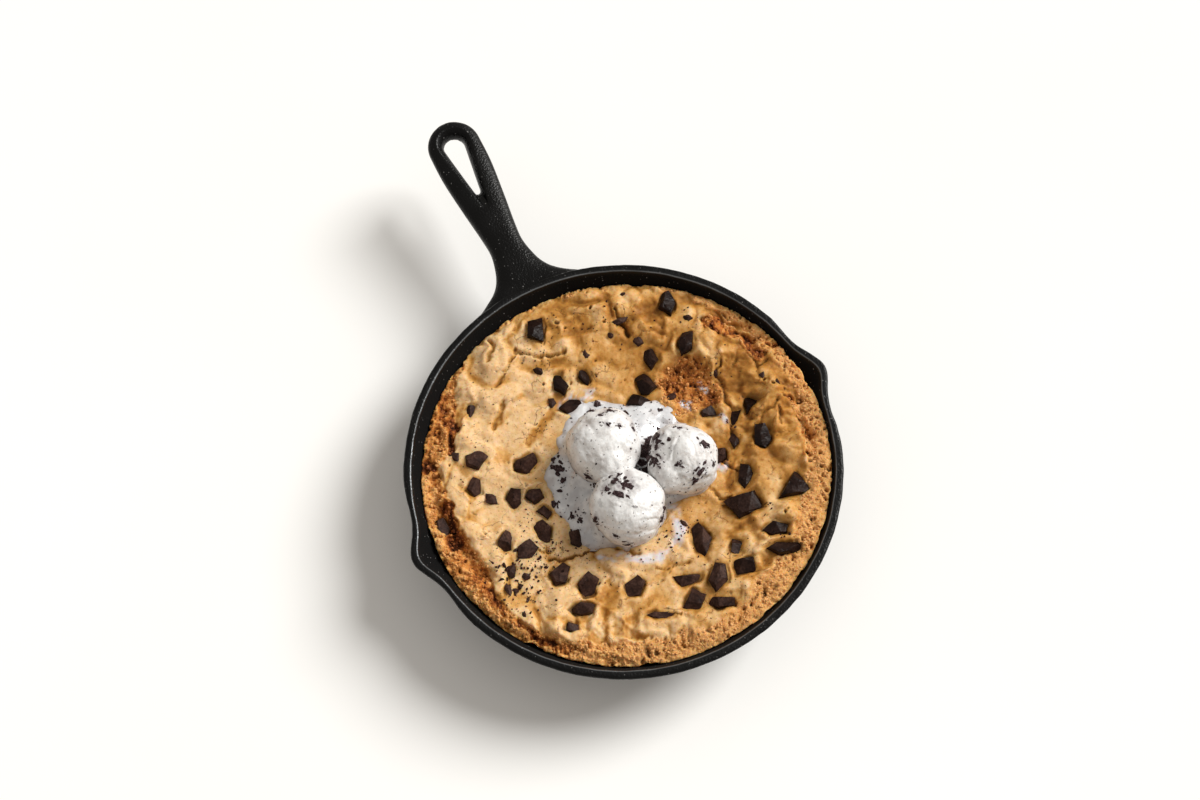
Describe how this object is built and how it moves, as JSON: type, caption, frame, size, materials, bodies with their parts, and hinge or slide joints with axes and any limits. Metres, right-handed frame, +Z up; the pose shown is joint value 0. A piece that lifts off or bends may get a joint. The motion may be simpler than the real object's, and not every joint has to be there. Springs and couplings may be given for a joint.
{
  "type": "skillet cookie",
  "caption": "Giant chocolate chunk cookie baked in a cast iron skillet with a handle and pour spouts, topped with scoops of cookies-and-cream ice cream in a melted pool.",
  "frame": {"origin": "centre of the skillet's flat base, on the surface it stands on", "axes": "+Z up out of the skillet; +Y along the handle away from the bowl; +X across, with a pouring spout at +X and another at -X"},
  "size_m": [0.2722, 0.3858, 0.0741],
  "materials": {
    "cast_iron": "seasoned black cast iron, pebbled and satin",
    "baked_cookie": "golden brown baked dough, smooth satin skin with rough crumb at the edge and in the cracks",
    "dark_chocolate": "chopped dark chocolate, satin on its faces and glossy where it has melted",
    "ice_cream": "frozen cream with dark cookie pieces, softly melting",
    "melted_cream": "melted cream, wet and glossy, with dark crumbs"
  },
  "bodies": {
    "root": {"skillet": "cast_iron", "cookie": "baked_cookie", "melted_ice_cream": "melted_cream", "scoop_1": "ice_cream", "scoop_2": "ice_cream", "scoop_3": "ice_cream", "chunk_01": "dark_chocolate", "chunk_02": "dark_chocolate", "chunk_03": "dark_chocolate", "chunk_04": "dark_chocolate", "chunk_05": "dark_chocolate", "chunk_06": "dark_chocolate", "chunk_07": "dark_chocolate", "chunk_08": "dark_chocolate", "chunk_09": "dark_chocolate", "chunk_10": "dark_chocolate", "chunk_11": "dark_chocolate", "chunk_12": "dark_chocolate", "chunk_13": "dark_chocolate", "chunk_14": "dark_chocolate", "chunk_15": "dark_chocolate", "chunk_16": "dark_chocolate", "chunk_17": "dark_chocolate", "chunk_18": "dark_chocolate", "chunk_19": "dark_chocolate", "chunk_20": "dark_chocolate", "chunk_21": "dark_chocolate", "chunk_22": "dark_chocolate", "chunk_23": "dark_chocolate", "chunk_24": "dark_chocolate", "chunk_25": "dark_chocolate", "chunk_26": "dark_chocolate", "chunk_27": "dark_chocolate", "chunk_28": "dark_chocolate", "chunk_29": "dark_chocolate", "chunk_30": "dark_chocolate", "chunk_31": "dark_chocolate", "chunk_32": "dark_chocolate", "chunk_33": "dark_chocolate", "chunk_34": "dark_chocolate", "chunk_35": "dark_chocolate", "chunk_36": "dark_chocolate", "chunk_37": "dark_chocolate", "chunk_38": "dark_chocolate", "chunk_39": "dark_chocolate", "chunk_40": "dark_chocolate", "chunk_41": "dark_chocolate", "chunk_42": "dark_chocolate", "chunk_43": "dark_chocolate", "chunk_44": "dark_chocolate", "chunk_45": "dark_chocolate", "chunk_46": "dark_chocolate"}
  },
  "joints": []
}
